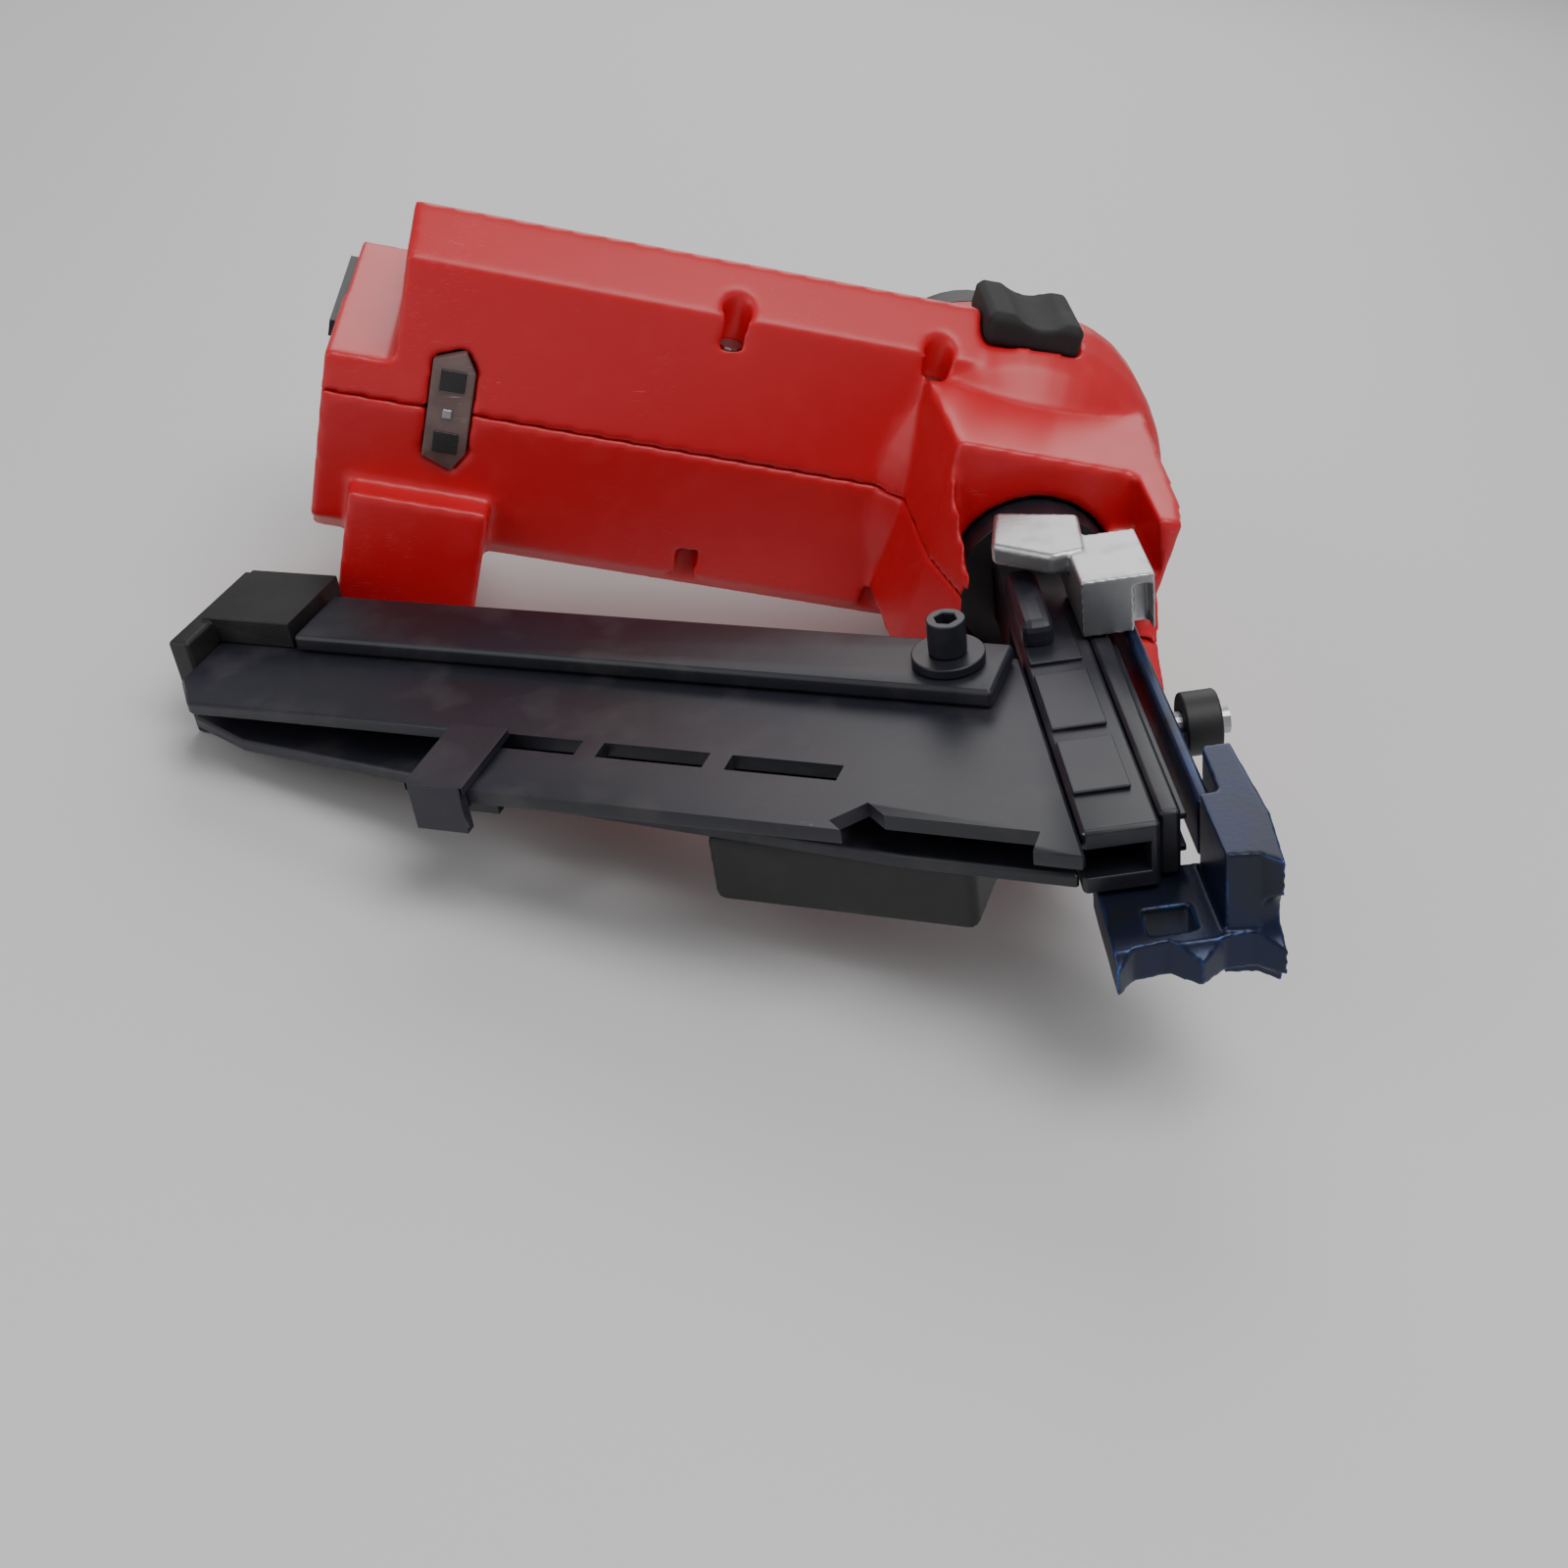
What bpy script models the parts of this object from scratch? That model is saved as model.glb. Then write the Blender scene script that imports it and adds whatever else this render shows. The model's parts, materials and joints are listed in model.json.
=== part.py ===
"""Cordless framing nailer, lying on its side: clamshell body, drive train, canted nose and magazine.

Axes of the body: X to the front, Y from the nose tip to the head cap, Z across the tool.
The drive axis is the line X = 0, Z = 0 of the body, and the nose tip is at Y = 0.
"""

import math

import bmesh
import bpy
from mathutils import Vector

MM = 0.001
GAP = 0.3 * MM
LYING_TILT = math.radians(8.0)
NOSE_CANT = math.radians(19.3)
MAGAZINE_ANGLE = math.radians(23.0)
REST_SHIFT = (106.76 * MM, -148.0 * MM, 69.34 * MM)

# Body, in millimetres
HOUSING_CENTRE_X = 1
HOUSING_HALF_X = 53
HOUSING_HALF_Z = 59.2
HOUSING_PROFILE = [
    (0, 306), (33, 306), (36, 290), (46, 262), (58.5, 232), (58.5, 224),
    (55, 212), (49, 203), (40, 195), (24, 190), (0, 190),
]
BORE_R = 40
HEAD_BORE_R = 30
BAR_X = (-225, -20)
BAR_FACE_Y = 200
BAR_BACK_Y = 252
BAR_CREASE_Z = 46
BAR_SIDE_Z = 58
BAR_BACK_Z = 48
COLUMN_X = (-224.4, -178)
COLUMN_Z = 57.2
FOOT_Z = 78
HANDLE_Y = (282, 304)
HANDLE_Z = 19
COLUMN_TOP_Y = 305
COLUMN_TOP_Z = 30
FOOT_TOP_Z = 50
SEAT_Y = (238, 298)
SCREW_FLOOR_Z = 31.5
SCREW_PLACES = ((-101, 208.7), (-35, 207.5))
WINDOW = [(-192, -17), (-192, 17), (-182, 21), (-178, 14), (-178, -14), (-182, -21)]
WALL = 4

# Drive
CYLINDER_Y = (250, 296)
CYLINDER_R = 22
CHAMBER_R = 29
PISTON_R = 19.2
BLADE_TIP_Y = 35
LIFTER_Y = 227

# Nose and magazine
NOSE_Z = 10
NOSE_X = (-13, 7)
NOSE_Y = (4, 148)
MAG_U = (34, 302)
MAG_V = (-9, 79)
STRIP_GAP = 4.5
PLATE_OUT = 9
RAIL_OUT = 15
RAIL_EDGE_V = 51
BOLT_PLACE = (-65, 65, 0)

PALETTE = {
    "red_plastic": ((0.62, 0.02, 0.025), 0.38, 0.0),
    "black_plastic": ((0.02, 0.02, 0.022), 0.55, 0.0),
    "rubber": ((0.015, 0.015, 0.016), 0.8, 0.0),
    "black_metal": ((0.03, 0.03, 0.04), 0.4, 0.6),
    "steel": ((0.55, 0.56, 0.58), 0.35, 1.0),
    "cast_metal": ((0.6, 0.6, 0.6), 0.45, 0.9),
    "smoked_plastic": ((0.08, 0.05, 0.04), 0.15, 0.0),
    "copper": ((0.7, 0.35, 0.15), 0.4, 1.0),
    "board_green": ((0.02, 0.18, 0.07), 0.5, 0.0),
}


def clear_scene():
    for obj in list(bpy.data.objects):
        bpy.data.objects.remove(obj, do_unlink=True)


def new_collection(name):
    collection = bpy.data.collections.new(name)
    bpy.context.scene.collection.children.link(collection)
    return collection


def material_for(name, look):
    color, roughness, metallic = PALETTE[look]
    material = bpy.data.materials.new(name)
    material.use_nodes = True
    shader = material.node_tree.nodes["Principled BSDF"]
    shader.inputs["Base Color"].default_value = (*color, 1)
    shader.inputs["Roughness"].default_value = roughness
    shader.inputs["Metallic"].default_value = metallic
    return material


def empty(name, parent=None, location=(0, 0, 0), rotation=(0, 0, 0)):
    axes = bpy.data.objects.new(name, None)
    PARTS.objects.link(axes)
    axes.parent = parent
    axes.location = location
    axes.rotation_euler = rotation
    return axes


def add_mesh(name, bm, parent, look=None):
    """Puts a bmesh in the scene as a part, or as a cutter when it has no look."""
    mesh = bpy.data.meshes.new(name)
    bmesh.ops.recalc_face_normals(bm, faces=bm.faces)
    bm.to_mesh(mesh)
    bm.free()
    obj = bpy.data.objects.new(name, mesh)
    obj.parent = parent
    if look:
        PARTS.objects.link(obj)
        mesh.materials.append(material_for(name, look))
    else:
        CUTTERS.objects.link(obj)
        obj.hide_render = True
        obj.display_type = "WIRE"
    return obj


def shade_round(obj):
    obj.data.shade_smooth()
    obj.data.set_sharp_from_angle(angle=math.radians(40))
    return obj


def box(name, x, y, z, parent, look=None, bevel=0.0):
    bm = bmesh.new()
    bmesh.ops.create_cube(bm, size=1)
    for vert in bm.verts:
        for axis, (low, high) in enumerate((x, y, z)):
            vert.co[axis] = (low + (vert.co[axis] + 0.5) * (high - low)) * MM
    obj = add_mesh(name, bm, parent, look)
    if bevel:
        round_edges(obj, bevel)
    return obj


def turn_to(obj, axis):
    """Turns a solid made along Z so that it lies along X or Y, keeping its centre line through the origin."""
    if axis == "X":
        obj.rotation_euler = (math.pi / 2, 0, math.pi / 2)
    if axis == "Y":
        obj.rotation_euler = (math.pi / 2, 0, math.pi)
    bpy.context.view_layer.update()
    obj.data.transform(obj.matrix_basis.copy())
    obj.matrix_basis.identity()
    return obj


def prism(name, outline, low, high, axis, parent, look=None, bevel=0.0):
    """A flat outline extruded along an axis: outline is (Y, Z) for X, (X, Z) for Y and (X, Y) for Z."""
    curve = bpy.data.curves.new(name + "_outline", "CURVE")
    curve.dimensions = "2D"
    curve.fill_mode = "BOTH"
    curve.extrude = (high - low) / 2 * MM
    spline = curve.splines.new("POLY")
    spline.points.add(len(outline) - 1)
    for point, (a, b) in zip(spline.points, outline):
        point.co = (a * MM, b * MM, 0, 1)
    spline.use_cyclic_u = True
    flat = bpy.data.objects.new(name + "_outline", curve)
    PARTS.objects.link(flat)
    bpy.context.view_layer.update()
    graph = bpy.context.evaluated_depsgraph_get()
    mesh = bpy.data.meshes.new_from_object(flat.evaluated_get(graph))
    bpy.data.objects.remove(flat)
    bm = bmesh.new()
    bm.from_mesh(mesh)
    bmesh.ops.remove_doubles(bm, verts=bm.verts, dist=1e-6)
    middle = (low + high) / 2 * MM
    for vert in bm.verts:
        a, b, depth = vert.co
        along = depth + middle
        vert.co = {"X": (along, a, b), "Y": (a, along, b), "Z": (a, b, along)}[axis]
    bpy.data.meshes.remove(mesh)
    obj = add_mesh(name, bm, parent, look)
    if bevel:
        round_edges(obj, bevel)
    return obj


def ring(name, profile, axis, parent, look=None, steps=32, centre=(0, 0, 0)):
    """A turned solid. Its profile holds (radius, height) points, in millimetres, down its outer side."""
    bm = bmesh.new()
    verts = [bm.verts.new((radius * MM, 0, height * MM)) for radius, height in profile]
    closed = profile[0][0] > 0
    pairs = list(zip(verts, verts[1:])) + ([(verts[-1], verts[0])] if closed else [])
    for pair in pairs:
        bm.edges.new(pair)
    mesh = bpy.data.meshes.new(name)
    bm.to_mesh(mesh)
    bm.free()
    turned = bpy.data.objects.new(name + "_turned", mesh)
    PARTS.objects.link(turned)
    screw = turned.modifiers.new("turn", "SCREW")
    screw.axis = "Z"
    screw.steps = screw.render_steps = steps
    screw.use_merge_vertices = True
    screw.merge_threshold = 1e-5
    bpy.context.view_layer.update()
    graph = bpy.context.evaluated_depsgraph_get()
    solid = bpy.data.meshes.new_from_object(turned.evaluated_get(graph))
    bpy.data.objects.remove(turned)
    bm = bmesh.new()
    bm.from_mesh(solid)
    bmesh.ops.remove_doubles(bm, verts=bm.verts, dist=1e-6)
    for vert in bm.verts:
        across, aside, along = vert.co
        vert.co = {"X": (along, across, aside), "Y": (aside, along, across), "Z": (across, aside, along)}[axis]
        vert.co += MM * Vector(centre)
    return shade_round(add_mesh(name, bm, parent, look))


def rod(name, radius, low, high, axis, parent, look=None, steps=24, centre=(0, 0, 0)):
    profile = [(0, high), (radius, high), (radius, low), (0, low)]
    return ring(name, profile, axis, parent, look, steps, centre)


def tube(name, inner, outer, low, high, axis, parent, look=None, steps=32, centre=(0, 0, 0)):
    profile = [(outer, high), (outer, low), (inner, low), (inner, high)]
    return ring(name, profile, axis, parent, look, steps, centre)


def round_edges(obj, width, segments=1):
    bevel = obj.modifiers.new("round", "BEVEL")
    bevel.width = width * MM
    bevel.segments = segments
    bevel.limit_method = "ANGLE"
    bevel.angle_limit = math.radians(35)
    return obj


def combine(obj, other, operation):
    boolean = obj.modifiers.new(operation.lower(), "BOOLEAN")
    boolean.operation = operation
    boolean.object = other
    return obj


def cut(obj, *cutters):
    for cutter in cutters:
        combine(obj, cutter, "DIFFERENCE")
    return obj


def join(obj, *others):
    for other in others:
        combine(obj, other, "UNION")
    return obj


def helix(name, coil_r, wire_r, low, high, turns, axis, parent, look, centre=(0, 0, 0)):
    """A round wire coil, as a closed tube that follows a helix."""
    count = turns * 10
    curve = bpy.data.curves.new(name, "CURVE")
    curve.dimensions = "3D"
    curve.bevel_depth = wire_r * MM
    curve.bevel_resolution = 1
    curve.use_fill_caps = True
    spline = curve.splines.new("POLY")
    spline.points.add(count)
    for index, point in enumerate(spline.points):
        turn = 2 * math.pi * turns * index / count
        along = low + (high - low) * index / count
        across, aside = coil_r * math.cos(turn), coil_r * math.sin(turn)
        place = {"X": (along, across, aside), "Y": (aside, along, across), "Z": (across, aside, along)}[axis]
        point.co = (*[(p + c) * MM for p, c in zip(place, centre)], 1)
    coil = bpy.data.objects.new(name, curve)
    coil.parent = parent
    curve.materials.append(material_for(name, look))
    PARTS.objects.link(coil)
    return coil


def oval_section(centre, half_x, half_z, side, low=0.15, steps=18):
    """Half an oval (X, Z) section with its flat side just off the seam plane."""
    start = math.asin(low / half_z)
    angles = [start + (math.pi - 2 * start) * i / steps for i in range(steps + 1)]
    return [(centre + half_x * math.cos(a), side * half_z * math.sin(a)) for a in angles]


def housing_half(tag, side):
    """Half of the housing: an oval trimmed to a turned outline, blunt in front and tapered to the rear."""
    section = oval_section(HOUSING_CENTRE_X, HOUSING_HALF_X, HOUSING_HALF_Z, side)
    housing = prism(f"{tag}_housing_body", section, 189, 305.5, "Y", BODY)
    combine(housing, ring(f"{tag}_housing_turned", HOUSING_PROFILE, "Y", BODY, None, 40), "INTERSECT")
    return housing


def housing_shell(name, side):
    """One clamshell half: cylinder housing, motor bar, battery column and handle, hollow inside."""
    seam = 0.15 * side
    tag = "upper" if side > 0 else "lower"
    bar_section = [
        (BAR_FACE_Y, seam),
        (BAR_FACE_Y + 5, side * BAR_CREASE_Z),
        (BAR_FACE_Y + 22, side * BAR_SIDE_Z),
        (BAR_BACK_Y, side * BAR_BACK_Z),
        (BAR_BACK_Y, seam),
    ]
    shell = prism(name, bar_section, *BAR_X, "X", BODY, "red_plastic")
    housing = housing_half(tag, side)
    skirt_outline = [(-26, 128), (-34, 156), (-38, 208), (37, 208), (33, 140), (30, 124)]
    skirt_span = sorted((seam, side * 39))
    skirt = prism(f"{tag}_skirt", skirt_outline, *skirt_span, "Z", BODY)
    column_section = [
        (BAR_FACE_Y + 12, seam),
        (BAR_FACE_Y + 12, side * 48),
        (BAR_FACE_Y + 22, side * COLUMN_Z),
        (BAR_BACK_Y, side * (BAR_BACK_Z - 0.8)),
        (COLUMN_TOP_Y, side * (COLUMN_TOP_Z if side > 0 else FOOT_TOP_Z)),
        (COLUMN_TOP_Y, seam),
    ]
    column = prism(f"{tag}_column", column_section, *COLUMN_X, "X", BODY)
    handle = box(f"{tag}_handle", (-200, -30), HANDLE_Y, sorted((seam, side * HANDLE_Z)), BODY)
    join(shell, housing, skirt, column, handle)
    if side > 0:
        lip_outline = [(121.5, 0.2), (133, 9), (150, 14), (150, 0.2)]
        join(shell, prism("upper_lip", lip_outline, 28, 35, "X", BODY))
    else:
        foot = box("lower_foot", (-213, -168), (193, 296), (-FOOT_Z, -30), BODY)
        lip_outline = [(106, -14), (104, -6), (121, -0.2), (150, -0.2), (150, -14)]
        join(shell, foot, prism("lower_lip", lip_outline, 28, 35, "X", BODY))

    bar_inside = sorted((-side * 2, side * 30))
    bar_start = -199 if side > 0 else -219
    bar_room = box(f"{tag}_bar_room", (bar_start, 0), (BAR_FACE_Y + 8, BAR_BACK_Y - WALL), bar_inside, BODY)
    column_inside = sorted((-side * 2, side * (9 if side > 0 else 44)))
    column_room = box(f"{tag}_column_room", (-235, -184), (BAR_FACE_Y + 36, 300), column_inside, BODY)
    bore = rod(f"{tag}_bore", BORE_R, 198, 262, "Y", BODY)
    head_bore = rod(f"{tag}_head_bore", HEAD_BORE_R, 255, 400, "Y", BODY)
    nose_room = rod(f"{tag}_nose_room", 26, 100, 200, "Y", BODY)
    handle_room = box(f"{tag}_handle_room", (-190, -20), (286, 300), sorted((-side * 2, side * 13)), BODY)
    window_room = prism(f"{tag}_window", WINDOW, 190, 212, "Y", BODY)
    trigger_room = box(f"{tag}_trigger_room", (-78, -50), (270, 290), sorted((-side * 2, side * 8)), BODY)
    cut(shell, bar_room, column_room, bore, head_bore, nose_room, handle_room, window_room, trigger_room)
    if side > 0:
        cut(shell, box("seat_notch", (-240, -204), (190, 330), (13, 80), BODY))
    bumper_room = box(f"{tag}_bumper_room", (-21.3, 11.3), (209.7, 244.3), sorted((side * 50, side * 70)), BODY)
    cut(shell, bumper_room)
    latch_room = box(f"{tag}_latch_room", (-22, 34), (88, 155.1), (10.6, 72), NOSE)
    magazine_room = box(f"{tag}_magazine_room", (-150, 0), (0, 104), (-18, 32), MAGAZINE)
    cut(shell, latch_room, magazine_room)
    for index, (x, y) in enumerate(SCREW_PLACES):
        hole_span = sorted((side * SCREW_FLOOR_Z, side * 80))
        cut(shell, rod(f"{tag}_screw_hole_{index}", 4.8, *hole_span, "Z", BODY, None, 12, (x, y, 0)))
    return shell


def side_bumper(name, side):
    span = sorted((side * 50.3, side * (61.5 if side > 0 else 66.5)))
    bumper = box(name, (-21, 11), (210, 244), span, BODY, "rubber", 2)
    return bumper


def build_body():
    housing_shell("housing_upper_shell", 1)
    housing_shell("housing_lower_shell", -1)
    side_bumper("side_bumper_upper", 1)
    side_bumper("side_bumper_lower", -1)
    cap = rod("head_cap", 32.6, 306.3, 318, "Y", BODY, "black_plastic", 40)
    cap_plug = rod("head_cap_plug", 29, 299, 308, "Y", BODY)
    join(cap, cap_plug)
    lens_outline = [(x * 0.985 - 2.8, z * 0.97) for x, z in WINDOW]
    prism("light_lens", lens_outline, 200.6, 204.5, "Y", BODY, "smoked_plastic")
    box("led_board", (-191.4, -178.6), (208.6, 210.2), (-13, 13), BODY, "board_green")
    grip_outline = [(-170, 284), (-170, 302), (-90, 302), (-82, 284)]
    prism("handle_grip_upper", grip_outline, HANDLE_Z + 0.3, HANDLE_Z + 2.5, "Z", BODY, "rubber")
    prism("handle_grip_lower", grip_outline, -HANDLE_Z - 2.5, -HANDLE_Z - 0.3, "Z", BODY, "rubber")
    for side, tag in ((1, "upper"), (-1, "lower")):
        for index, (x, y) in enumerate(SCREW_PLACES):
            span = sorted((side * (SCREW_FLOOR_Z + 0.3), side * (SCREW_FLOOR_Z + 4.5)))
            rod(f"housing_screw_{tag}_{index + 1}", 4, *span, "Z", BODY, "steel", 12, (x, y, 0))


def build_battery_seat():
    """The seat's flat face lies between two rails that hold the slide-on pack."""
    seat = box("battery_seat", (-225, -216), SEAT_Y, (-43, 8), BODY, "black_plastic")
    rail_span = (SEAT_Y[0] - 0.8, SEAT_Y[1] + 0.8)
    for index, z in enumerate((-43.6, 3)):
        join(seat, box(f"battery_rail_{index}", (-227.5, -224.7), rail_span, (z, z + 5.6), BODY))
    cut(seat, box("terminal_pocket", (-240, -210), (260, 284), (-30, -6), BODY))
    box("battery_terminals", (-224, -217), (260.3, 283.7), (-29.7, -6.3), BODY, "steel")
    box("control_board", (-198, -168), (226, 228), (-28, 28), BODY, "board_green")


def build_drive():
    tube("cylinder_tube", PISTON_R + 0.06, CYLINDER_R, *CYLINDER_Y, "Y", BODY, "steel", 40)
    tube("pressure_chamber", CHAMBER_R - 3, CHAMBER_R, *CYLINDER_Y, "Y", BODY, "cast_metal", 40)
    rod("piston", PISTON_R - 0.3, 286, 295, "Y", BODY, "cast_metal", 40)
    box("driver_blade", (-3, 3), (BLADE_TIP_Y, 285.7), (-1.5, 1.5), NOSE, "steel")
    tube("piston_bumper", 6, PISTON_R - 0.4, 250, 256, "Y", BODY, "rubber")
    tube("cylinder_base", 6, 38, 246, 249.7, "Y", BODY, "cast_metal")
    axis = (0, LIFTER_Y, 0)
    tube("motor_stator", 13, 18.4, -150, -110, "X", BODY, "copper", 32, axis)
    rotor = rod("motor_rotor", 12, -148, -112, "X", BODY, "steel", 32, axis)
    join(rotor, rod("motor_shaft", 3, -156, -104, "X", BODY, None, 16, axis))
    tube("gearbox_case", 8, 18.4, -103, -52, "X", BODY, "cast_metal", 32, axis)
    wheel = rod("lifter_wheel", 16, -30, -12, "X", BODY, "steel", 24, axis)
    join(wheel, rod("lifter_shaft", 6, -100, -20, "X", BODY, None, 16, axis))


def build_trigger():
    pivot = empty("trigger_axis", BODY, (-60 * MM, 283 * MM, 0))
    outline = [(-2, -2), (-4, -14), (-10, -22), (-14, -21), (-12, -10), (-10, 1)]
    prism("trigger", outline, -6, 6, "Z", pivot, "black_plastic", 0.6)
    box("trigger_switch", (-88, -79), (287, 299), (-8, 8), BODY, "black_plastic")


def build_nose():
    frame = box("nose_frame", NOSE_X, NOSE_Y, (-NOSE_Z, NOSE_Z), NOSE, "black_metal", 1)
    cut(frame, box("nail_channel", (-30, 4.5), (-5, 118), (-STRIP_GAP, STRIP_GAP), NOSE))
    cut(frame, box("blade_way", (-4.5, 4.5), (-5, 160), (-4.5, 4.5), NOSE))
    flange = rod("nose_flange", 25, 146, 158, "Y", NOSE)
    join(frame, flange)
    cut(frame, rod("flange_hole", 8, 140, 170, "Y", NOSE, None, 16))
    door = box("nose_door", (7.3, 13), (8, 118), (-10, 10), NOSE, "black_metal", 1)
    for index, z in enumerate((-6, 4)):
        join(door, box(f"door_rib_{index}", (12, 15.2), (12, 110), (z, z + 2), NOSE))
    box("contact_arm", (18.2, 21.7), (12.3, 132), (-9, 9), NOSE, "steel", 0.8)
    build_claw()
    tube("depth_wheel", 4.2, 9, -5, 5, "X", NOSE, "black_plastic", 24, (30, 60, 0))
    rod("depth_axle", 3.9, 22, 38, "X", NOSE, "steel", 16, (0, 60, 0))
    helix("contact_spring", 3.2, 0.7, 121, 144, 6, "Y", NOSE, "steel", (12, 0, -17))


def build_claw():
    """The toothed foot under the nose tip, and the wing that joins it to the contact arm."""
    foot = [(-9, 14), (-10, -22), (-5, -17), (4, -16), (11, -22), (18, -17), (25, -17), (32, -22), (31, 13)]
    wing = [(18.3, 11.7), (18.3, -15), (26, -16), (31, -21), (33, 0), (31, 34), (27, 37), (23.5, 30), (23, 11.7)]
    claw = prism("contact_claw", wing, -25, 12, "Z", NOSE, "black_metal")
    join(claw, prism("claw_foot", foot, -22, -11, "Z", NOSE))
    cut(claw, box("claw_window", (0, 12), (-13, -3), (-40, 0), NOSE))


def build_latch():
    hinge = empty("latch_axis", NOSE, (12 * MM, 128 * MM, 20 * MM))
    plate = [(-28, -6), (-12, -18), (-2, -16), (0, 6), (-24, 14)]
    lever = prism("jam_latch", plate, 3, 10, "Z", hinge, "cast_metal", 1)
    join(lever, box("latch_block", (-7, 14), (-34, -6), (-9, 9), hinge))


def front_edge(v):
    """Where a line across the magazine at height v meets the nose frame, with clearance."""
    side = -NOSE_X[0] + 0.5
    return -(side + v * math.sin(MAGAZINE_ANGLE)) / math.cos(MAGAZINE_ANGLE)


def build_magazine():
    u0, u1 = -MAG_U[1], front_edge(MAG_V[1])
    v0, v1 = MAG_V
    for side, tag in ((1, "upper"), (-1, "lower")):
        low, high = sorted((side * STRIP_GAP, side * PLATE_OUT))
        upper_rear = [(u0 + 10, v0 + 28), (u0 + 104, v0 + 28), (u0 + 118, v0)]
        lower_rear = [(u0 + 24, v0 + 30), (u0 + 118, v0 + 18), (-60, v0 + 9)]
        bottom = v0 if side > 0 else v0 + 9
        outline = (upper_rear if side > 0 else lower_rear) + [
            (front_edge(bottom), bottom),
            (front_edge(v1), v1),
            (u0, v1),
            (u0, v0 + 40),
        ]
        plate = prism(f"magazine_plate_{tag}", outline, low, high, "Z", MAGAZINE, "black_metal", 0.8)
        for index in range(3):
            left = u0 + 111 + index * 38.5
            slot = box(f"slot_{tag}_{index}", (left, left + 32), (12, 19), (-20, 20), MAGAZINE)
            cut(plate, slot)
        rail_low, rail_high = sorted((side * (PLATE_OUT + 0.3), side * RAIL_OUT))
        rail_place = (u0 + 30, u1 - 1), (RAIL_EDGE_V, v1 - 2), (rail_low, rail_high)
        rail = box(f"magazine_rail_{tag}", *rail_place, MAGAZINE, "black_metal", 1)
        if side > 0:
            cut(rail, rod("bolt_hole", 5, 5, 30, "Z", MAGAZINE, None, 16, BOLT_PLACE))
            cut(plate, rod("bolt_hole_plate", 5, 0, 30, "Z", MAGAZINE, None, 16, BOLT_PLACE))
    spine_span = (-STRIP_GAP + 0.3, STRIP_GAP - 0.3)
    box("magazine_spine", (u0 + 4, u1), (v1 - 8, v1), spine_span, MAGAZINE, "black_metal")
    cap_place = (u0 - 8, u0 - 0.3), (v1 - 40, v1 + 6), (-17, 17)
    cap = box("magazine_end_cap", *cap_place, MAGAZINE, "black_plastic", 1)
    cap_top = (u0 - 4, u0 + 28), (v1 - 26, v1 + 5), (PLATE_OUT + 0.3, 18)
    join(cap, box("cap_top", *cap_top, MAGAZINE))
    box("nail_track", (u0 + 4, u1), (v1 - 14, v1 - 8.3), (-3, 3), MAGAZINE, "steel")
    pusher = box("pusher", (u0 + 102, u0 + 124), (v0 + 7, v1 - 20), (-3.8, 3.8), MAGAZINE, "black_metal")
    clip = box("pusher_clip", (u0 + 104, u0 + 120), (v0 - 4, v0 - 0.5), (-3, 12), MAGAZINE)
    tab = box("pusher_tab", (u0 + 103, u0 + 121), (v0 - 3.5, v0 + 26), (9.5, 12.2), MAGAZINE)
    web = box("pusher_web", (u0 + 106, u0 + 118), (v0 - 2, v0 + 10), (1.2, 3.8), MAGAZINE)
    join(pusher, clip, tab, web)
    washer_span = (RAIL_OUT + 0.3, RAIL_OUT + 3.3)
    tube("flange_washer", 4.4, 10.5, *washer_span, "Z", MAGAZINE, "black_metal", 28, BOLT_PLACE)
    bolt = rod("magazine_bolt", 4, 5.5, RAIL_OUT + 14, "Z", MAGAZINE, "black_metal", 24, BOLT_PLACE)
    head_span = (RAIL_OUT + 3.6, RAIL_OUT + 14)
    join(bolt, rod("bolt_head", 5.5, *head_span, "Z", MAGAZINE, None, 24, BOLT_PLACE))
    socket_span = (RAIL_OUT + 8, RAIL_OUT + 20)
    cut(bolt, rod("bolt_socket", 3.2, *socket_span, "Z", MAGAZINE, None, 6, BOLT_PLACE))
    box("no_mar_block", (-120, -44), (v0 + 14, v0 + 54), (-32, -PLATE_OUT - 0.3), MAGAZINE, "black_plastic", 2)


clear_scene()
PARTS = new_collection("framing_nailer")
CUTTERS = new_collection("cutters")
ROOT = empty("tool_axes", None, REST_SHIFT, (0, LYING_TILT, 0))
BODY = ROOT
NOSE = empty("nose_axes", ROOT, (0, 0, 0), (0, -NOSE_CANT, 0))
MAGAZINE = empty("magazine_axes", NOSE, (0, 0, 0), (0, 0, -MAGAZINE_ANGLE))
build_body()
build_battery_seat()
build_drive()
build_trigger()
build_nose()
build_latch()
build_magazine()
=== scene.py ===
"""The looks of the framing nailer: rounded shells, worn paint and plastic, around the CAD frame."""

import json
import math

import bmesh
import bpy
from mathutils import Matrix, Vector


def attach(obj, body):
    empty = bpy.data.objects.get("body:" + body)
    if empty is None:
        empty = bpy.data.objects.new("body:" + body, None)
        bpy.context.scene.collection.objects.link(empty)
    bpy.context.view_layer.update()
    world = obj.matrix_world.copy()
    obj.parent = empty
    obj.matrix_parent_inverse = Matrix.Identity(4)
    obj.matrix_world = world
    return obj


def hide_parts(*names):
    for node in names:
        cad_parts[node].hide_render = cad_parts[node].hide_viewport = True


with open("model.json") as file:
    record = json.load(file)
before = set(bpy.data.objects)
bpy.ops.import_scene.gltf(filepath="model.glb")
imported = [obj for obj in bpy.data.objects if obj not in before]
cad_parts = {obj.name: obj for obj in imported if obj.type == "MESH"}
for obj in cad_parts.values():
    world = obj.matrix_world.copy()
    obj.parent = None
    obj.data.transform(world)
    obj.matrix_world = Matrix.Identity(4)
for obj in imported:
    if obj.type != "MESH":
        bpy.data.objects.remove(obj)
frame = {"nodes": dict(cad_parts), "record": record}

MM = 0.001
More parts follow.
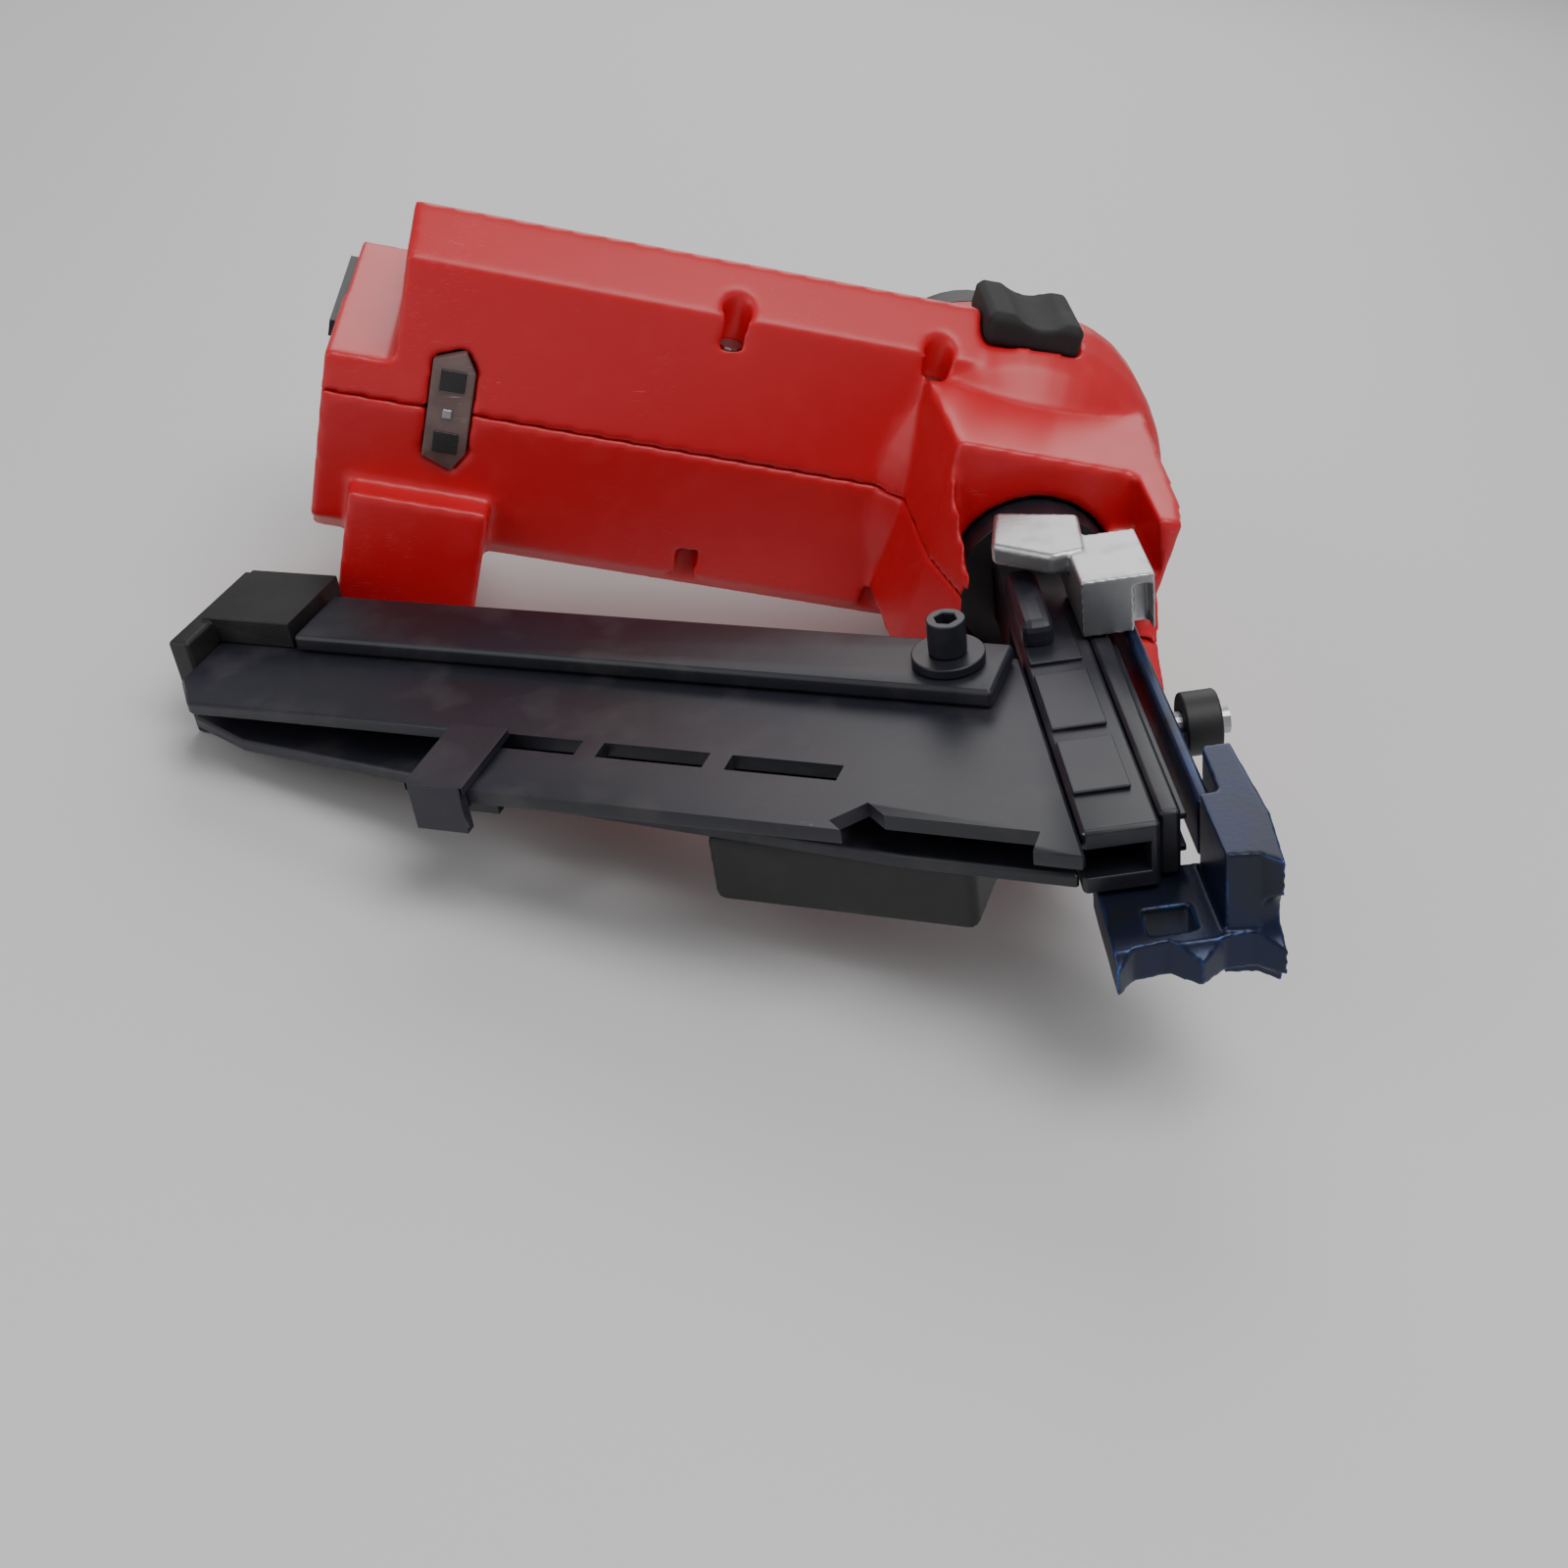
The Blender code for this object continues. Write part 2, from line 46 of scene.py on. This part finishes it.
LYING_TILT = math.radians(8.0)
NOSE_CANT = math.radians(19.3)
MAGAZINE_ANGLE = math.radians(23.0)
BODY_ORIGIN = Vector((106.76, -148.0, 69.34)) * MM

CAMERA_PLACE = Vector((-0.0295, -0.5321, 0.3509))
CAMERA_YAW = math.radians(-6.86)
CAMERA_PITCH = math.radians(56.19)
CAMERA_ROLL = math.radians(5.33)
CAMERA_LENS = 45.0
SENSOR_WIDTH = 36

# The Mix node repeats its socket names, so its inputs and outputs are told apart by number.
MIX_NUMBER_A, MIX_NUMBER_B, MIX_NUMBER = 2, 3, 0
MIX_COLOUR_A, MIX_COLOUR_B, MIX_COLOUR = 6, 7, 2

SEAM_HALF_GAP = 0.6
SEAM_REACH = 1.6
BUMPER_CREST = {1: 61.5, -1: 66.5}
SADDLE_RADIUS = 14
SADDLE_DIP = 3

BODY_AXES = Matrix.Translation(BODY_ORIGIN) @ Matrix.Rotation(LYING_TILT, 4, "Y")
NOSE_AXES = BODY_AXES @ Matrix.Rotation(-NOSE_CANT, 4, "Y")
MAGAZINE_AXES = NOSE_AXES @ Matrix.Rotation(-MAGAZINE_ANGLE, 4, "Z")


# ---------------------------------------------------------------- materials


class Surface:
    """A node material built up from a base colour with grain, scratches, chips, dust and painted
    highlights.
    """

    def __init__(self, name, colour, roughness, metallic=0.0, coat=0.0):
        self.material = bpy.data.materials.new(name)
        self.material.use_nodes = True
        self.nodes = self.material.node_tree.nodes
        self.links = self.material.node_tree.links
        self.shader = self.nodes["Principled BSDF"]
        self.shader.inputs["Coat Weight"].default_value = coat
        self.place = self.nodes.new("ShaderNodeTexCoord").outputs["Object"]
        self.colour = (*colour, 1)
        self.roughness = roughness
        self.metal = metallic
        self.height = None

    def feed(self, value, socket):
        """Sets the socket to a plain value, or links it to a node's output."""
        if isinstance(value, bpy.types.NodeSocket):
            self.links.new(value, socket)
        else:
            socket.default_value = value

    def noise(self, scale, detail=4.0, stretch=(1, 1, 1), turn=(0, 0, 0), distortion=0.0):
        mapping = self.nodes.new("ShaderNodeMapping")
        mapping.inputs["Scale"].default_value = stretch
        mapping.inputs["Rotation"].default_value = turn
        self.links.new(self.place, mapping.inputs["Vector"])
        noise = self.nodes.new("ShaderNodeTexNoise")
        noise.inputs["Scale"].default_value = scale
        noise.inputs["Detail"].default_value = detail
        noise.inputs["Distortion"].default_value = distortion
        self.links.new(mapping.outputs[0], noise.inputs["Vector"])
        return noise.outputs["Fac"]

    def span(self, value, low, high, start=0.0, end=1.0):
        node = self.nodes.new("ShaderNodeMapRange")
        node.inputs["From Min"].default_value = low
        node.inputs["From Max"].default_value = high
        node.inputs["To Min"].default_value = start
        node.inputs["To Max"].default_value = end
        self.links.new(value, node.inputs["Value"])
        return node.outputs[0]

    def math(self, operation, first, second):
        node = self.nodes.new("ShaderNodeMath")
        node.operation = operation
        node.use_clamp = True
        for socket, value in zip(node.inputs, (first, second)):
            self.feed(value, socket)
        return node.outputs[0]

    def edges(self, low=0.52, high=0.6):
        geometry = self.nodes.new("ShaderNodeNewGeometry")
        return self.span(geometry.outputs["Pointiness"], low, high)

    def paint(self, mask, colour, roughness=None, metallic=None):
        """Lays a second surface over the first, where the mask is high."""
        mix = self.nodes.new("ShaderNodeMix")
        mix.data_type = "RGBA"
        self.links.new(mask, mix.inputs["Factor"])
        self.feed(self.colour, mix.inputs[MIX_COLOUR_A])
        mix.inputs[MIX_COLOUR_B].default_value = (*colour, 1)
        self.colour = mix.outputs[MIX_COLOUR]
        if roughness is not None:
            self.roughness = self.blend_value(mask, self.roughness, roughness)
        if metallic is not None:
            self.metal = self.blend_value(mask, self.metal, metallic)

    def blend_value(self, mask, first, second):
        mix = self.nodes.new("ShaderNodeMix")
        self.links.new(mask, mix.inputs["Factor"])
        self.feed(first, mix.inputs[MIX_NUMBER_A])
        mix.inputs[MIX_NUMBER_B].default_value = second
        return mix.outputs[MIX_NUMBER]

    def raise_by(self, value, amount):
        scaled = self.math("MULTIPLY", value, amount)
        self.height = scaled if self.height is None else self.math("ADD", self.height, scaled)

    def finish(self, depth=0.0004):
        self.feed(self.colour, self.shader.inputs["Base Color"])
        self.feed(self.roughness, self.shader.inputs["Roughness"])
        self.feed(self.metal, self.shader.inputs["Metallic"])
        if self.height is not None:
            bump = self.nodes.new("ShaderNodeBump")
            bump.inputs["Strength"].default_value = 0.6
            bump.inputs["Distance"].default_value = depth
            self.links.new(self.height, bump.inputs["Height"])
            self.links.new(bump.outputs[0], self.shader.inputs["Normal"])
        return self.material


def scratches(surface, scale, turn, density=0.7):
    """Long thin marks: a stretched noise cut to a narrow band, broken up by a coarse noise."""
    lines = surface.noise(scale, 2.0, (1, 26, 26), turn, 0.3)
    thin = surface.span(lines, density, density + 0.03)
    patches = surface.span(surface.noise(28, 2.0), 0.52, 0.62)
    return surface.math("MULTIPLY", thin, patches)


def red_plastic():
    surface = Surface("red_moulding", (0.62, 0.012, 0.02), 0.36)
    shade = surface.span(surface.noise(14, 3), 0.35, 0.7, 0.0, 0.35)
    surface.paint(shade, (0.5, 0.006, 0.012), 0.42)
    grain = surface.noise(2600, 2)
    surface.raise_by(grain, 0.25)
    surface.paint(surface.span(surface.noise(90, 5), 0.5, 0.75, 0, 0.25), (0.66, 0.03, 0.04), 0.55)
    for index, turn in enumerate(((0, 0.4, 0.2), (0.3, -0.7, 1.1), (0.9, 0.2, -0.6))):
        marks = scratches(surface, 130 + 40 * index, turn)
        surface.paint(surface.math("MULTIPLY", marks, 0.3), (0.8, 0.3, 0.3), 0.55)
        surface.raise_by(surface.math("SUBTRACT", 1.0, marks), 0.2)
    scuffs = surface.span(surface.noise(220, 6, (1, 3, 3), (0.2, 0.3, 0.1)), 0.72, 0.8, 0, 0.25)
    surface.paint(scuffs, (0.8, 0.3, 0.3), 0.65)
    return surface.finish(0.00012)


def black_paint():
    surface = Surface("black_paint", (0.012, 0.0125, 0.018), 0.38)
    surface.paint(surface.span(surface.noise(18, 3), 0.4, 0.7, 0, 0.6), (0.02, 0.018, 0.032), 0.46)
    surface.raise_by(surface.noise(1500, 3), 0.3)
    dust = surface.span(surface.noise(60, 6), 0.52, 0.72, 0, 0.18)
    surface.paint(dust, (0.12, 0.11, 0.11), 0.7)
    for index, turn in enumerate(((0, 0, 0.5), (0.5, 0.1, -0.5))):
        marks = scratches(surface, 150 + 60 * index, turn, 0.69)
        surface.paint(surface.math("MULTIPLY", marks, 0.25), (0.2, 0.19, 0.2), 0.4, 0.6)
    flakes = surface.span(surface.noise(240, 3), 0.6, 0.66)
    chips = surface.math("MULTIPLY", surface.edges(0.58, 0.66), flakes)
    surface.paint(chips, (0.3, 0.3, 0.32), 0.4, 0.9)
    return surface.finish(0.0001)


def blued_metal():
    surface = Surface("blued_metal", (0.012, 0.018, 0.05), 0.3, 0.5)
    surface.paint(surface.span(surface.noise(30, 4), 0.45, 0.65), (0.008, 0.009, 0.014), 0.42, 0.2)
    surface.raise_by(surface.noise(700, 4), 0.4)
    # Painted highlight: bright blue glints laid along the edges, broken up by a coarse noise.
    broad = surface.span(surface.noise(90, 3), 0.4, 0.55)
    painted_edge_glint = surface.math("MULTIPLY", surface.edges(0.52, 0.58), broad)
    surface.paint(painted_edge_glint, (0.05, 0.13, 0.42), 0.3, 0.9)
    flakes = surface.span(surface.noise(200, 3), 0.58, 0.66)
    worn = surface.math("MULTIPLY", surface.edges(0.6, 0.68), flakes)
    surface.paint(worn, (0.5, 0.5, 0.52), 0.35, 1.0)
    return surface.finish(0.0002)


def black_moulding(name="black_moulding", roughness=0.52):
    surface = Surface(name, (0.012, 0.012, 0.013), roughness)
    surface.raise_by(surface.noise(2200, 2), 0.5)
    surface.paint(surface.span(surface.noise(70, 5), 0.5, 0.75, 0, 0.25), (0.05, 0.048, 0.046), 0.7)
    return surface.finish(0.0002)


def bare_metal(name, colour, roughness, grain=900):
    surface = Surface(name, colour, roughness, 1.0)
    surface.raise_by(surface.noise(grain, 5), 0.5)
    dull = surface.span(surface.noise(120, 5), 0.5, 0.7, 0, 0.5)
    surface.paint(dull, tuple(0.75 * c for c in colour), roughness + 0.15)
    marks = scratches(surface, 160, (0.2, 0.5, 0.9), 0.66)
    surface.paint(marks, tuple(min(1, 1.3 * c) for c in colour), roughness * 0.7)
    return surface.finish(0.00025)


def smoked_lens():
    surface = Surface("smoked_lens", (0.1, 0.05, 0.045), 0.16, coat=0.4)
    surface.paint(surface.span(surface.noise(60, 3), 0.4, 0.65, 0, 0.5), (0.24, 0.16, 0.15))
    surface.paint(scratches(surface, 180, (0, 0.3, 0.1)), (0.5, 0.4, 0.4), 0.5)
    surface.raise_by(surface.noise(500, 2), 0.2)
    return surface.finish(0.0001)


def board_green():
    surface = Surface("circuit_board", (0.01, 0.09, 0.03), 0.4)
    surface.paint(surface.span(surface.noise(400, 1, (1, 6, 1)), 0.55, 0.6), (0.4, 0.3, 0.1), 0.3, 0.8)
    return surface.finish()


RED = red_plastic()
PAINT = black_paint()
BLUED = blued_metal()
PLASTIC = black_moulding()
RUBBER = black_moulding("rubber", 0.78)
STEEL = bare_metal("satin_steel", (0.42, 0.42, 0.44), 0.34)
CAST = bare_metal("cast_alloy", (0.52, 0.52, 0.53), 0.4, 500)
COPPER = bare_metal("copper_winding", (0.6, 0.28, 0.12), 0.35)
LENS = smoked_lens()
BLOCK = black_moulding("lens_block", 0.2)
BOARD = board_green()


# ---------------------------------------------------------------- shapes


def dress(obj, material):
    obj.data.materials.clear()
    obj.data.materials.append(material)
    return obj


def body_of_node(node):
    for body, members in frame["record"]["behaviour"]["bodies"].items():
        if node in members:
            return body
    return "frame"


def link_shape(name, bm):
    """Puts a bmesh in the scene as a new object."""
    mesh = bpy.data.meshes.new(name)
    bm.to_mesh(mesh)
    bm.free()
    obj = bpy.data.objects.new(name, mesh)
    bpy.context.collection.objects.link(obj)
    return obj


def mesh_copy(node, name):
    """The node's solid as clean flat faces, ready for modifiers."""
    bm = bmesh.new()
    bm.from_mesh(frame["nodes"][node].data)
    bmesh.ops.remove_doubles(bm, verts=bm.verts, dist=1e-6)
    bmesh.ops.dissolve_limit(bm, angle_limit=math.radians(0.6), verts=bm.verts, edges=bm.edges)
    return link_shape(name, bm)


def stand_for(node, obj, material):
    dress(obj, material)
    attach(obj, body_of_node(node))
    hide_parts(node)
    return obj


def rounded(node, material, width, segments=3, cutters=()):
    obj = mesh_copy(node, node + "_finish")
    if cutters:
        carve(obj, list(cutters))
    bevel = obj.modifiers.new("edges", "BEVEL")
    bevel.width = width * MM
    bevel.segments = segments
    bevel.limit_method = "ANGLE"
    bevel.angle_limit = math.radians(28)
    bevel.harden_normals = True
    obj.data.shade_smooth()
    obj.data.set_sharp_from_angle(angle=math.radians(50))
    return stand_for(node, obj, material)


def apply_modifiers(obj):
    graph = bpy.context.evaluated_depsgraph_get()
    mesh = bpy.data.meshes.new_from_object(obj.evaluated_get(graph))
    obj.modifiers.clear()
    obj.data = mesh
    return obj


def block(name, axes, x, y, z):
    """A box between the low and high millimetres along each of the axes."""
    bm = bmesh.new()
    bmesh.ops.create_cube(bm, size=1)
    for vert in bm.verts:
        for index, (low, high) in enumerate((x, y, z)):
            vert.co[index] = (low + (vert.co[index] + 0.5) * (high - low)) * MM
    bm.transform(axes)
    return link_shape(name, bm)


def cutter_rod(name, axes, place, radius, depth):
    """A round bar that starts at the place and runs along the axes' Z."""
    bm = bmesh.new()
    size = radius * MM
    bmesh.ops.create_cone(bm, cap_ends=True, segments=40, radius1=size, radius2=size, depth=depth * MM)
    middle = Vector(place) * MM + Vector((0, 0, depth / 2 * MM))
    bmesh.ops.translate(bm, verts=bm.verts, vec=middle)
    bm.transform(axes)
    return link_shape(name, bm)


def carve(obj, cutters):
    for cutter in cutters:
        boolean = obj.modifiers.new("carve", "BOOLEAN")
        boolean.operation = "DIFFERENCE"
        boolean.object = cutter
    bpy.context.view_layer.update()
    apply_modifiers(obj)
    for cutter in cutters:
        bpy.data.objects.remove(cutter)
    return obj


def seam_weights(obj):
    """1 away from the parting plane and 0 at it, so that smoothing keeps the parting line sharp."""
    group = obj.vertex_groups.new(name="away_from_seam")
    into_body = BODY_AXES.inverted()
    for vert in obj.data.vertices:
        height = abs((into_body @ vert.co).z) / MM
        weight = min(1.0, max(0.0, (height - SEAM_HALF_GAP) / SEAM_REACH))
        group.add([vert.index], weight, "REPLACE")
    return group.name


def moulded(node, material, cutters=(), voxel=1.5, rounds=7, seam=False):
    """A casting or moulding with every edge softly rounded: remeshed, then smoothed."""
    obj = mesh_copy(node, node + "_finish")
    carve(obj, list(cutters))
    remesh = obj.modifiers.new("skin", "REMESH")
    remesh.mode = "VOXEL"
    remesh.voxel_size = voxel * MM
    remesh.adaptivity = 0.0
    bpy.context.view_layer.update()
    apply_modifiers(obj)
    smooth = obj.modifiers.new("soften", "SMOOTH")
    smooth.factor = 0.5
    smooth.iterations = rounds
    if seam:
        smooth.vertex_group = seam_weights(obj)
    bpy.context.view_layer.update()
    apply_modifiers(obj)
    obj.data.shade_smooth()
    return stand_for(node, obj, material)


# ---------------------------------------------------------------- pieces


def detail(name, axes, x, y, z, material, bevel, body="frame"):
    """A small solid that the CAD doesn't hold, riding on the frame body."""
    obj = block(name, axes, x, y, z)
    edges = obj.modifiers.new("edges", "BEVEL")
    edges.width = bevel * MM
    edges.segments = 3
    dress(obj, material)
    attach(obj, body)
    return obj


def saddle(side):
    """The dip between the two humps of a side bumper."""
    height = side * (BUMPER_CREST[side] + SADDLE_RADIUS - SADDLE_DIP)
    axes = BODY_AXES @ Matrix.Translation(Vector((-4, 200, height)) * MM)
    along = axes @ Matrix.Rotation(-math.pi / 2, 4, "X")
    return [cutter_rod("saddle", along, (0, 0, 0), SADDLE_RADIUS, 60)]


def build_shells():
    moulded("housing_upper_shell", RED, seam=True, voxel=1.3)
    moulded("housing_lower_shell", RED, seam=True, voxel=1.3)
    moulded("side_bumper_upper", RUBBER, saddle(1), voxel=0.8, rounds=6)
    moulded("side_bumper_lower", RUBBER, saddle(-1), voxel=0.8, rounds=6)


def scallop():
    """The cut-out in the plate's lower edge, next to the nose."""
    turn = Matrix.Translation(Vector((-66, 0, 0)) * MM) @ Matrix.Rotation(math.radians(-40), 4, "Z")
    return [
        block("scallop", MAGAZINE_AXES, (-66, -24), (-20, -1), (0, 14)),
        block("scallop_end", MAGAZINE_AXES @ turn, (-6, 8), (-12, 0), (0, 14)),
    ]


def build_metalwork():
    rounded("magazine_plate_upper", PAINT, 0.8, cutters=scallop())
    rounded("magazine_plate_lower", PAINT, 0.8)
    for node in ("magazine_rail_upper", "magazine_rail_lower", "magazine_spine", "pusher", "nose_door"):
        rounded(node, PAINT, 0.6)
    rounded("nose_frame", PAINT, 0.7)
    rounded("contact_arm", BLUED, 0.6)
    moulded("contact_claw", BLUED, claw_cuts(), voxel=0.6, rounds=4)
    moulded("jam_latch", CAST, latch_cuts(), voxel=0.6, rounds=5)
    rounded("magazine_bolt", PAINT, 0.4)
    rounded("flange_washer", PAINT, 0.5)
    for index, (low, high) in enumerate(((20, 44), (50, 78), (84, 108))):
        detail(f"nose_side_step_{index}", NOSE_AXES, (-12, 3), (low, high), (10, 11.2), PAINT, 0.5)
    detail("nose_hinge_lug", NOSE_AXES, (-12.5, -3), (92, 126), (10, 19), PAINT, 3.0)


def latch_cuts():
    """The finger slot across the latch's block."""
    return [block("latch_slot", NOSE_AXES, (20, 25), (85, 99), (5, 26))]


def claw_cuts():
    """Hollows across the claw's end, which leave a tooth at each corner."""
    axes = NOSE_AXES @ Matrix.Rotation(math.pi / 2, 4, "Y")
    return [
        cutter_rod("claw_hollow", axes, (6, -25, -60), 9, 120),
        cutter_rod("wing_hollow", axes, (-12, 44, 10), 12, 60),
    ]


def build_plastic():
    mouldings = (
        "head_cap", "battery_seat", "magazine_end_cap",
        "trigger", "depth_wheel", "trigger_switch",
    )
    for node in mouldings:
        rounded(node, PLASTIC, 0.8)
    moulded("no_mar_block", PLASTIC, voxel=1.0, rounds=5)
    for node in ("handle_grip_upper", "handle_grip_lower", "piston_bumper"):
        rounded(node, RUBBER, 0.6)
    rounded("light_lens", LENS, 0.5)
    for index, z in enumerate((-14, 7)):
        place = (-189, -181), (200.0, 200.5), (z, z + 7)
        detail(f"lens_block_{index}", BODY_AXES, *place, BLOCK, 0.2)
    detail("lamp_chip", BODY_AXES, (-187, -184), (199.9, 200.5), (-2.4, 0.8), STEEL, 0.3)


def dress_inner():
    looks = {
        STEEL: (
            "cylinder_tube", "driver_blade", "depth_axle", "contact_spring",
            "lifter_wheel", "motor_rotor", "nail_track", "battery_terminals",
        ),
        CAST: ("pressure_chamber", "cylinder_base", "piston", "gearbox_case"),
        COPPER: ("motor_stator",),
        BOARD: ("led_board", "control_board"),
    }
    for material, nodes in looks.items():
        for node in nodes:
            dress(frame["nodes"][node], material)
    for node, obj in frame["nodes"].items():
        if node.startswith("housing_screw"):
            dress(obj, STEEL)


# ---------------------------------------------------------------- stage


def build_floor():
    bm = bmesh.new()
    depth, height, bend = 1.6, 1.5, 0.4
    angles = [i * math.pi / 24 for i in range(13)]
    curve = [(depth + bend * math.sin(a), bend * (1 - math.cos(a))) for a in angles]
    profile = [(-2.0, 0.0), *curve, (depth + bend, height)]
    rows = [[bm.verts.new((x, y, z)) for y, z in profile] for x in (-3, 3)]
    for index in range(len(profile) - 1):
        bm.faces.new((rows[0][index], rows[1][index], rows[1][index + 1], rows[0][index + 1]))
    floor = link_shape("studio_floor", bm)
    floor.data.shade_smooth()
    surface = Surface("pale_floor", (0.72, 0.72, 0.71), 0.6)
    dress(floor, surface.finish())


def area_light(name, place, target, size, power):
    light = bpy.data.lights.new(name, "AREA")
    light.size = size
    light.energy = power
    obj = bpy.data.objects.new(name, light)
    obj.location = place
    obj.rotation_euler = (Vector(target) - Vector(place)).to_track_quat("-Z", "Y").to_euler()
    bpy.context.collection.objects.link(obj)


def build_lights():
    centre = (0, 0, 0.08)
    area_light("key", (0.3, -0.4, 1.3), centre, 0.8, 11)
    area_light("fill", (-1.2, -0.6, 0.7), centre, 1.0, 5)
    area_light("back", (0.2, 1.2, 0.9), centre, 1.2, 9)
    world = bpy.data.worlds.new("studio")
    bpy.context.scene.world = world
    world.use_nodes = True
    world.node_tree.nodes["Background"].inputs["Color"].default_value = (0.9, 0.92, 0.95, 1)
    world.node_tree.nodes["Background"].inputs["Strength"].default_value = 0.34


def build_camera():
    data = bpy.data.cameras.new("camera")
    data.lens = CAMERA_LENS
    data.sensor_width = SENSOR_WIDTH
    data.clip_start = 0.01
    camera = bpy.data.objects.new("camera", data)
    turn = Matrix.Rotation(CAMERA_YAW, 4, "Z") @ Matrix.Rotation(CAMERA_PITCH, 4, "X")
    camera.matrix_world = Matrix.Translation(CAMERA_PLACE) @ turn @ Matrix.Rotation(CAMERA_ROLL, 4, "Z")
    bpy.context.collection.objects.link(camera)
    bpy.context.scene.camera = camera


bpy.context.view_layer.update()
build_camera()
build_shells()
build_metalwork()
build_plastic()
dress_inner()
build_floor()
build_lights()
